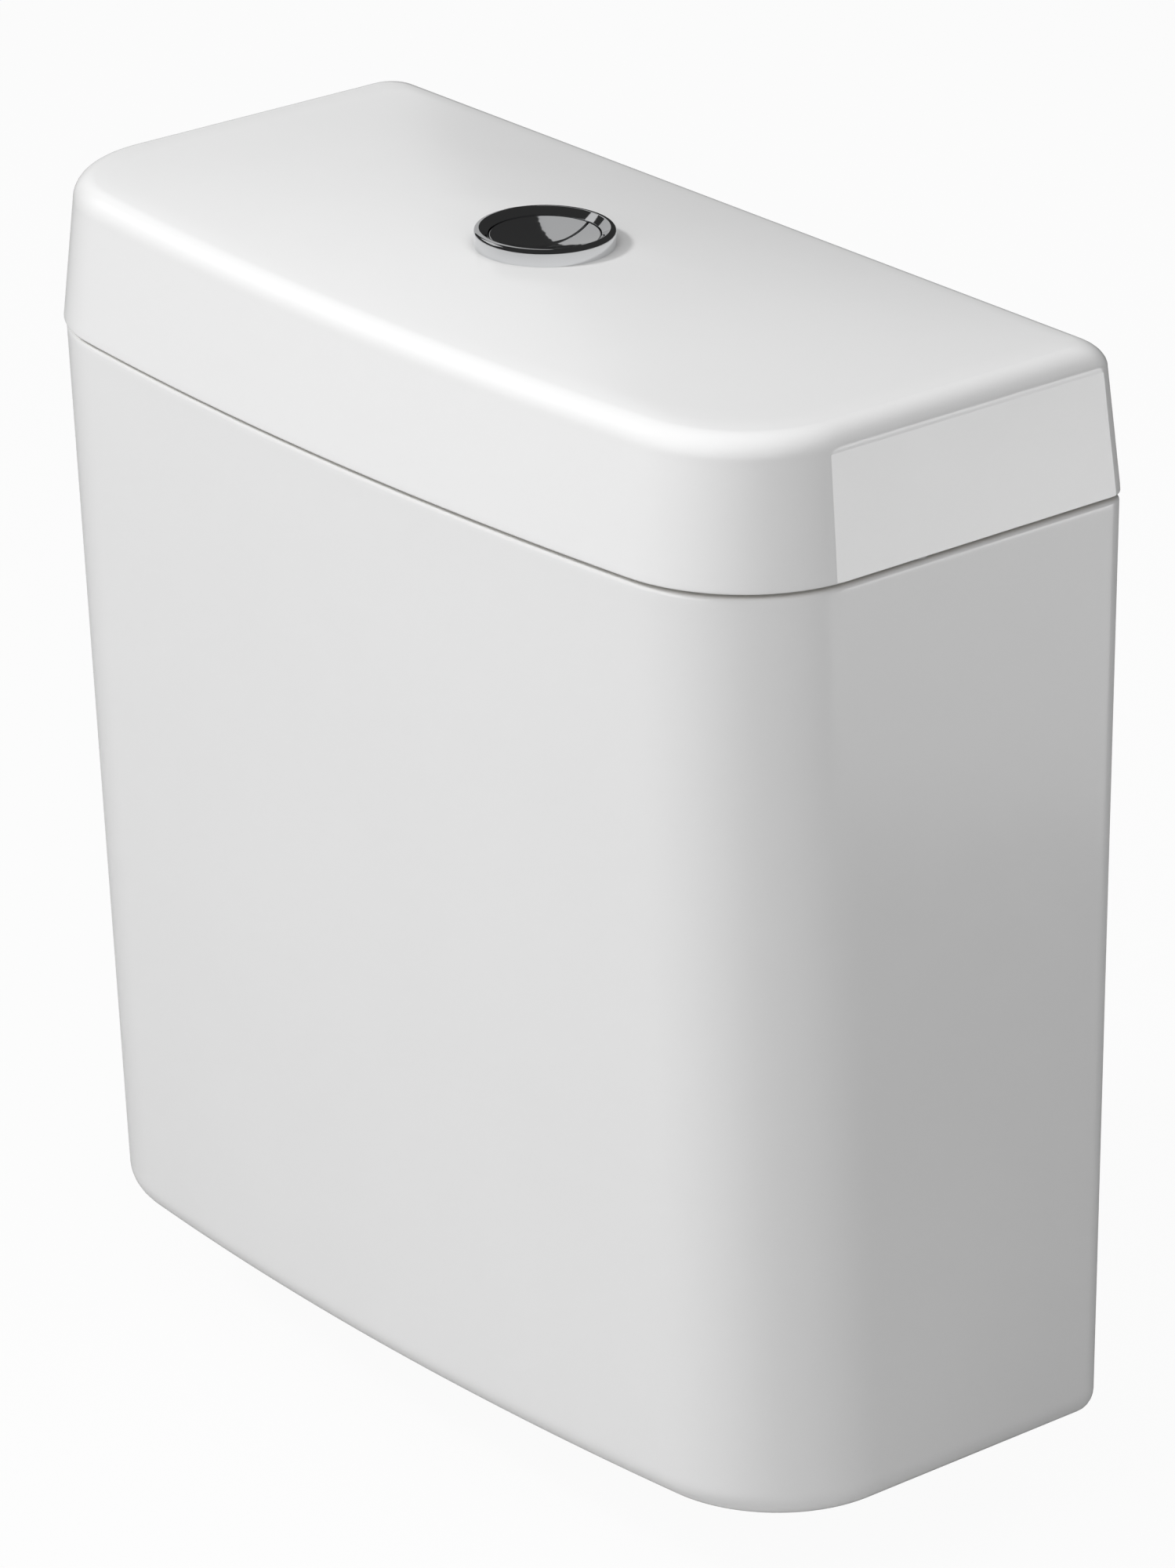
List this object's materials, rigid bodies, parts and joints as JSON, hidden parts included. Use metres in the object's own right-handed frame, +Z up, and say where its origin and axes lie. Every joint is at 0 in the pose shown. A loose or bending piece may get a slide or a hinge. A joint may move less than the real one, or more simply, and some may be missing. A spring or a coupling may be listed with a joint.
{
  "type": "toilet cistern",
  "caption": "Close-coupled white ceramic toilet cistern with a lift-off lid, a dual flush push button, a flush valve, a float fill valve and bolts for the pan.",
  "frame": {"origin": "on the axis of the flush outlet, in the plane of the tank's underside", "axes": "+Z up, +Y towards the wall behind, -Y towards the user, +X to the right seen from the front"},
  "size_m": [0.39, 0.187, 0.448],
  "materials": {
    "white_glaze": "gloss",
    "chrome_plate": "polished",
    "white_plastic": "satin",
    "tower_plastic": "satin",
    "blue_plastic": "satin",
    "float_plastic": "satin",
    "black_rubber": "matte",
    "red_silicone": "satin",
    "clear_silicone": "satin",
    "steel": "bright",
    "brass": "satin"
  },
  "bodies": {
    "cistern": {"tank": "white_glaze", "outlet_body": "white_plastic", "outlet_washer": "black_rubber", "outlet_back_nut": "white_plastic", "coupling_gasket": "black_rubber", "valve_tower": "tower_plastic", "lever_bracket": "tower_plastic", "lever_pin": "steel", "inlet_shank": "white_plastic", "shank_washer": "black_rubber", "shank_back_nut": "white_plastic", "inlet_filter": "blue_plastic", "riser_tube": "white_plastic", "fill_head": "white_plastic", "diaphragm": "black_rubber", "fill_cap": "tower_plastic", "fill_lever_pin": "steel", "discharge_tube": "white_plastic", "pan_bolts": "brass", "bolt_seals": "black_rubber", "bolt_washers": "brass", "bolt_nuts": "brass"},
    "lid": {"lid": "white_glaze", "lid_buffers": "clear_silicone", "button_bezel": "chrome_plate", "bezel_washer": "black_rubber", "bezel_nut": "white_plastic", "full_button_spring": "steel", "half_button_spring": "steel"},
    "full_flush_button": {"full_flush_button": "chrome_plate", "full_push_rod": "white_plastic"},
    "half_flush_button": {"half_flush_button": "chrome_plate", "half_push_rod": "white_plastic"},
    "full_flush_lever": {"full_flush_lever": "blue_plastic"},
    "half_flush_lever": {"half_flush_lever": "white_plastic"},
    "flush_valve": {"overflow_tube": "white_plastic", "lift_hook": "blue_plastic", "main_seal": "red_silicone", "seal_clip": "white_plastic", "flush_float": "float_plastic"},
    "half_float": {"half_float_rod": "white_plastic", "half_flush_float": "float_plastic"},
    "fill_float": {"float_cup": "float_plastic", "float_link": "white_plastic"},
    "fill_lever": {"fill_lever": "blue_plastic"}
  },
  "joints": [
    {"name": "lid_lift", "type": "slide", "parent": "cistern", "child": "lid", "axis": [0, 0, 1], "range_m": [0, 0.15]},
    {"name": "full_flush_press", "type": "slide", "parent": "lid", "child": "full_flush_button", "axis": [0, 0, -1], "range_m": [0, 0.007], "stiffness_N_per_m": 300, "springref_m": -0.006, "deforming": ["full_button_spring"]},
    {"name": "half_flush_press", "type": "slide", "parent": "lid", "child": "half_flush_button", "axis": [0, 0, -1], "range_m": [0, 0.007], "stiffness_N_per_m": 300, "springref_m": -0.006, "deforming": ["half_button_spring"]},
    {"name": "full_lever_rock", "type": "hinge", "parent": "cistern", "child": "full_flush_lever", "pos_m": [0, 0.005, 0.29], "axis": [1, 0, 0], "range_deg": [0, 30]},
    {"name": "valve_lift", "type": "slide", "parent": "cistern", "child": "flush_valve", "axis": [0, 0, 1], "range_m": [0, 0.0105]},
    {"name": "half_lever_rock", "type": "hinge", "parent": "cistern", "child": "half_flush_lever", "pos_m": [0, 0.005, 0.29], "axis": [1, 0, 0], "range_deg": [0, 30]},
    {"name": "half_float_lift", "type": "slide", "parent": "cistern", "child": "half_float", "axis": [0, 0, 1], "range_m": [0, 0.0105]},
    {"name": "float_rise", "type": "slide", "parent": "cistern", "child": "fill_float", "axis": [0, 0, 1], "range_m": [0, 0.012]},
    {"name": "fill_lever_rock", "type": "hinge", "parent": "cistern", "child": "fill_lever", "pos_m": [-0.131, 0, 0.306], "axis": [0, -1, 0], "range_deg": [0, 27.5]}
  ],
  "couplings": [
    {"joint": "full_lever_rock", "follows": "full_flush_press", "rad_per_m": 74.79},
    {"joint": "valve_lift", "follows": "full_flush_press", "ratio": 1.4998},
    {"joint": "half_lever_rock", "follows": "half_flush_press", "rad_per_m": 74.79},
    {"joint": "half_float_lift", "follows": "half_flush_press", "ratio": 1.4998},
    {"joint": "fill_lever_rock", "follows": "float_rise", "rad_per_m": 39.97}
  ]
}
